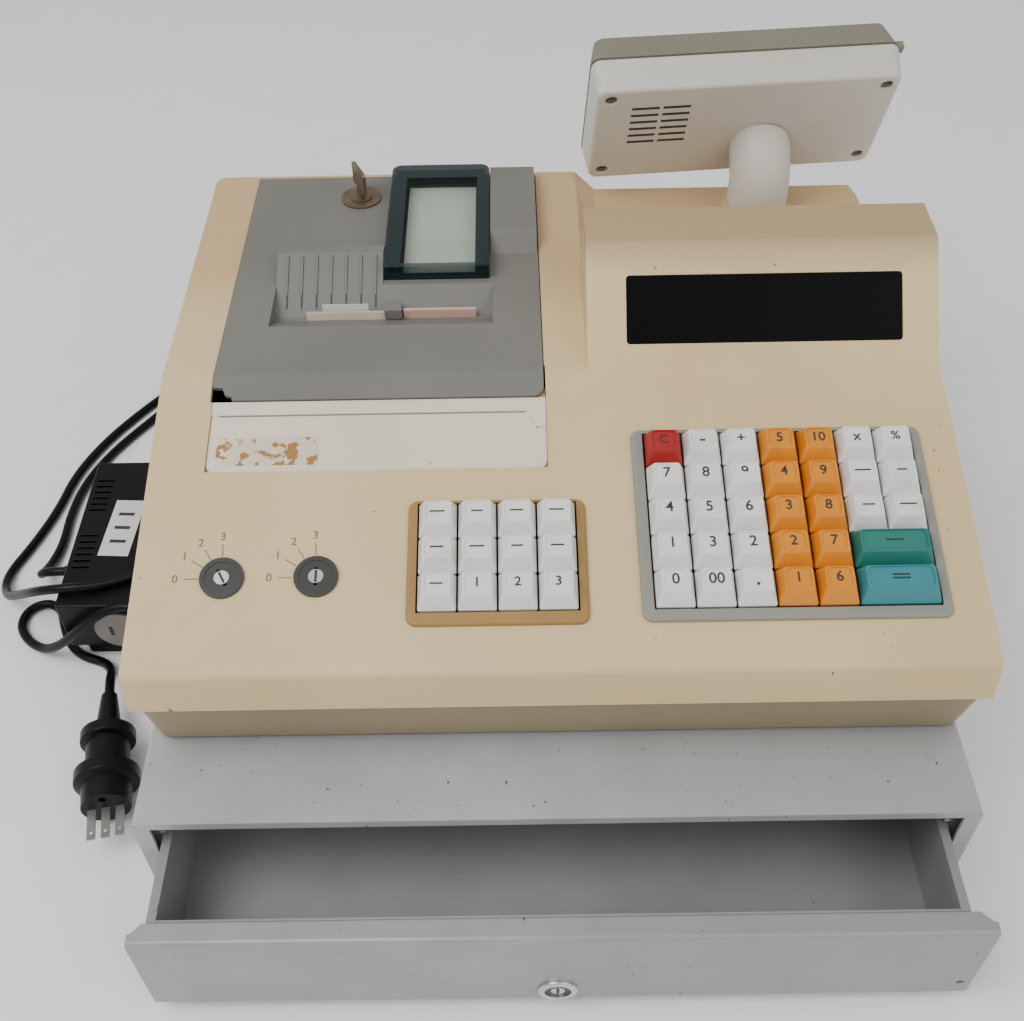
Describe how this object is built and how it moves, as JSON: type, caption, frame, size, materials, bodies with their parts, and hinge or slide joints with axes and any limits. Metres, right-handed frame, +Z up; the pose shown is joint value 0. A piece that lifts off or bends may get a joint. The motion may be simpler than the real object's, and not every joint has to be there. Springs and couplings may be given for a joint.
{
  "type": "cash register",
  "caption": "Electronic cash register: sloping keypad deck, twin-roll printer under a hinged cover, swivelling customer display, steel cash drawer and an outboard power unit with plug.",
  "frame": {"origin": "centre of the register's footprint on the table, with the drawer partly open and the power unit and leads left out", "axes": "+X to the operator's right, +Y away from the operator towards the back, +Z up"},
  "size_m": [0.565, 0.5338, 0.2869],
  "materials": {
    "hammered_grey": "hammered grey paint",
    "zinc_steel": "satin",
    "foot_rubber": "matt",
    "nickel": "satin nickel",
    "base_plastic": "matt",
    "cream_plastic": "fine grain, yellowed by sun",
    "panel_plastic": "fine grain",
    "dark_window": "gloss",
    "board_green": "satin",
    "frame_grey": "satin",
    "frame_tan": "satin",
    "key_white": "satin",
    "key_red": "satin",
    "key_orange": "satin",
    "key_teal": "satin",
    "key_blue": "satin",
    "lock_grey": "satin",
    "cover_grey": "fine grain",
    "green_window": "gloss",
    "paper": "matt",
    "platen_rubber": "matt",
    "tear_plastic": "satin",
    "display_plastic": "fine grain",
    "display_olive": "fine grain",
    "screw_steel": "satin",
    "black_plastic": "satin",
    "lead_black": "satin"
  },
  "bodies": {
    "register": {"cabinet": "hammered_grey", "cabinet_rails": "zinc_steel", "rubber_feet": "foot_rubber", "drawer_release": "zinc_steel", "base_shell": "base_plastic", "top_case": "cream_plastic", "operator_window": "dark_window", "operator_display": "board_green", "front_panel": "panel_plastic", "main_keypad_frame": "frame_grey", "aux_keypad_frame": "frame_tan", "key_board": "board_green", "mode_lock_bodies": "lock_grey", "printer_frame": "zinc_steel", "main_board": "board_green", "power_case": "black_plastic", "power_base": "black_plastic", "lead_glands": "black_plastic", "supply_lead": "lead_black", "mains_lead": "lead_black", "plug_body": "black_plastic", "plug_pins": "nickel"},
    "drawer": {"drawer_tray": "hammered_grey", "drawer_front": "hammered_grey", "drawer_lock_barrel": "nickel"},
    "drawer_lock": {"drawer_lock_plug": "nickel"},
    "cover": {"printer_cover": "cover_grey", "journal_window": "green_window", "tear_bars": "tear_plastic", "cover_lock_barrel": "nickel"},
    "cover_lock": {"cover_key": "nickel"},
    "mode_left": {"mode_rotor_left": "lock_grey"},
    "mode_right": {"mode_rotor_right": "lock_grey"},
    "platen_body": {"platen": "platen_rubber"},
    "receipt": {"receipt_roll": "paper"},
    "journal": {"journal_spool": "paper"},
    "customer_display": {"display_neck": "display_plastic", "display_rear": "display_plastic", "display_front": "display_olive", "customer_window": "dark_window", "display_screws": "screw_steel"},
    "key_0_body": {"key_0": "key_white"},
    "key_1_body": {"key_1": "key_white"},
    "key_2_body": {"key_2": "key_white"},
    "key_3_body": {"key_3": "key_white"},
    "key_4_body": {"key_4": "key_white"},
    "key_5_body": {"key_5": "key_white"},
    "key_6_body": {"key_6": "key_white"},
    "key_7_body": {"key_7": "key_white"},
    "key_8_body": {"key_8": "key_white"},
    "key_9_body": {"key_9": "key_white"},
    "key_clear_body": {"key_clear": "key_red"},
    "key_minus_body": {"key_minus": "key_white"},
    "key_plus_body": {"key_plus": "key_white"},
    "keys_decimal_body": {"keys_decimal": "key_white"},
    "keys_department_body": {"keys_department": "key_orange"},
    "keys_function_body": {"keys_function": "key_white"},
    "key_subtotal_body": {"key_subtotal": "key_teal"},
    "key_total_body": {"key_total": "key_blue"},
    "keys_aux_body": {"keys_aux": "key_white"}
  },
  "joints": [
    {"name": "drawer_slide", "type": "slide", "parent": "register", "child": "drawer", "axis": [0, -1, 0], "range_m": [-0.038, 0.21]},
    {"name": "drawer_lock_turn", "type": "hinge", "parent": "drawer", "child": "drawer_lock", "pos_m": [-0.00574, -0.235, 0.0203], "axis": [0, 1, 0], "range_deg": [0, 90]},
    {"name": "cover_hinge", "type": "hinge", "parent": "register", "child": "cover", "pos_m": [-0.00414, 0.203, 0.20046], "axis": [-1, 0, 0], "range_deg": [0, 80]},
    {"name": "cover_key_turn", "type": "hinge", "parent": "cover", "child": "cover_lock", "pos_m": [-0.11319, 0.179, 0.2005], "axis": [0, 0, 1], "range_deg": [0, 90]},
    {"name": "mode_left_turn", "type": "hinge", "parent": "register", "child": "mode_left", "pos_m": [-0.16259, -0.09736, 0.16968], "axis": [0, -0.2571, 0.9664], "range_deg": [-90, 90]},
    {"name": "mode_right_turn", "type": "hinge", "parent": "register", "child": "mode_right", "pos_m": [-0.11779, -0.09736, 0.16968], "axis": [0, -0.2571, 0.9664], "range_deg": [-90, 90]},
    {"name": "platen_turn", "type": "hinge", "parent": "register", "child": "platen_body", "pos_m": [-0.09329, 0.052, 0.168], "axis": [1, 0, 0], "continuous": true},
    {"name": "receipt_turn", "type": "hinge", "parent": "register", "child": "receipt", "pos_m": [-0.12929, 0.15, 0.142], "axis": [1, 0, 0], "continuous": true},
    {"name": "journal_turn", "type": "hinge", "parent": "register", "child": "journal", "pos_m": [-0.05329, 0.15, 0.142], "axis": [1, 0, 0], "continuous": true},
    {"name": "display_swivel", "type": "hinge", "parent": "register", "child": "customer_display", "pos_m": [0.12831, 0.177, 0.19], "axis": [0, 0, 1], "range_deg": [-35, 30]},
    {"name": "key_0_press", "type": "slide", "parent": "register", "child": "key_0_body", "axis": [0, -0.2571, 0.9664], "range_m": [-0.004, 0], "stiffness_N_per_m": 150, "springref_m": 0.0006},
    {"name": "key_1_press", "type": "slide", "parent": "register", "child": "key_1_body", "axis": [0, -0.2571, 0.9664], "range_m": [-0.004, 0], "stiffness_N_per_m": 150, "springref_m": 0.0006},
    {"name": "key_2_press", "type": "slide", "parent": "register", "child": "key_2_body", "axis": [0, -0.2571, 0.9664], "range_m": [-0.004, 0], "stiffness_N_per_m": 150, "springref_m": 0.0006},
    {"name": "key_3_press", "type": "slide", "parent": "register", "child": "key_3_body", "axis": [0, -0.2571, 0.9664], "range_m": [-0.004, 0], "stiffness_N_per_m": 150, "springref_m": 0.0006},
    {"name": "key_4_press", "type": "slide", "parent": "register", "child": "key_4_body", "axis": [0, -0.2571, 0.9664], "range_m": [-0.004, 0], "stiffness_N_per_m": 150, "springref_m": 0.0006},
    {"name": "key_5_press", "type": "slide", "parent": "register", "child": "key_5_body", "axis": [0, -0.2571, 0.9664], "range_m": [-0.004, 0], "stiffness_N_per_m": 150, "springref_m": 0.0006},
    {"name": "key_6_press", "type": "slide", "parent": "register", "child": "key_6_body", "axis": [0, -0.2571, 0.9664], "range_m": [-0.004, 0], "stiffness_N_per_m": 150, "springref_m": 0.0006},
    {"name": "key_7_press", "type": "slide", "parent": "register", "child": "key_7_body", "axis": [0, -0.2571, 0.9664], "range_m": [-0.004, 0], "stiffness_N_per_m": 150, "springref_m": 0.0006},
    {"name": "key_8_press", "type": "slide", "parent": "register", "child": "key_8_body", "axis": [0, -0.2571, 0.9664], "range_m": [-0.004, 0], "stiffness_N_per_m": 150, "springref_m": 0.0006},
    {"name": "key_9_press", "type": "slide", "parent": "register", "child": "key_9_body", "axis": [0, -0.2571, 0.9664], "range_m": [-0.004, 0], "stiffness_N_per_m": 150, "springref_m": 0.0006},
    {"name": "key_clear_press", "type": "slide", "parent": "register", "child": "key_clear_body", "axis": [0, -0.2571, 0.9664], "range_m": [-0.004, 0], "stiffness_N_per_m": 150, "springref_m": 0.0006},
    {"name": "key_minus_press", "type": "slide", "parent": "register", "child": "key_minus_body", "axis": [0, -0.2571, 0.9664], "range_m": [-0.004, 0], "stiffness_N_per_m": 150, "springref_m": 0.0006},
    {"name": "key_plus_press", "type": "slide", "parent": "register", "child": "key_plus_body", "axis": [0, -0.2571, 0.9664], "range_m": [-0.004, 0], "stiffness_N_per_m": 150, "springref_m": 0.0006},
    {"name": "keys_decimal_press", "type": "slide", "parent": "register", "child": "keys_decimal_body", "axis": [0, -0.2571, 0.9664], "range_m": [-0.004, 0], "stiffness_N_per_m": 150, "springref_m": 0.0006},
    {"name": "keys_department_press", "type": "slide", "parent": "register", "child": "keys_department_body", "axis": [0, -0.2571, 0.9664], "range_m": [-0.004, 0], "stiffness_N_per_m": 150, "springref_m": 0.0006},
    {"name": "keys_function_press", "type": "slide", "parent": "register", "child": "keys_function_body", "axis": [0, -0.2571, 0.9664], "range_m": [-0.004, 0], "stiffness_N_per_m": 150, "springref_m": 0.0006},
    {"name": "key_subtotal_press", "type": "slide", "parent": "register", "child": "key_subtotal_body", "axis": [0, -0.2571, 0.9664], "range_m": [-0.004, 0], "stiffness_N_per_m": 150, "springref_m": 0.0006},
    {"name": "key_total_press", "type": "slide", "parent": "register", "child": "key_total_body", "axis": [0, -0.2571, 0.9664], "range_m": [-0.004, 0], "stiffness_N_per_m": 150, "springref_m": 0.0006},
    {"name": "keys_aux_press", "type": "slide", "parent": "register", "child": "keys_aux_body", "axis": [0, -0.2571, 0.9664], "range_m": [-0.004, 0], "stiffness_N_per_m": 150, "springref_m": 0.0006}
  ],
  "couplings": [
    {"joint": "journal_turn", "follows": "platen_turn", "ratio": 0.33}
  ]
}
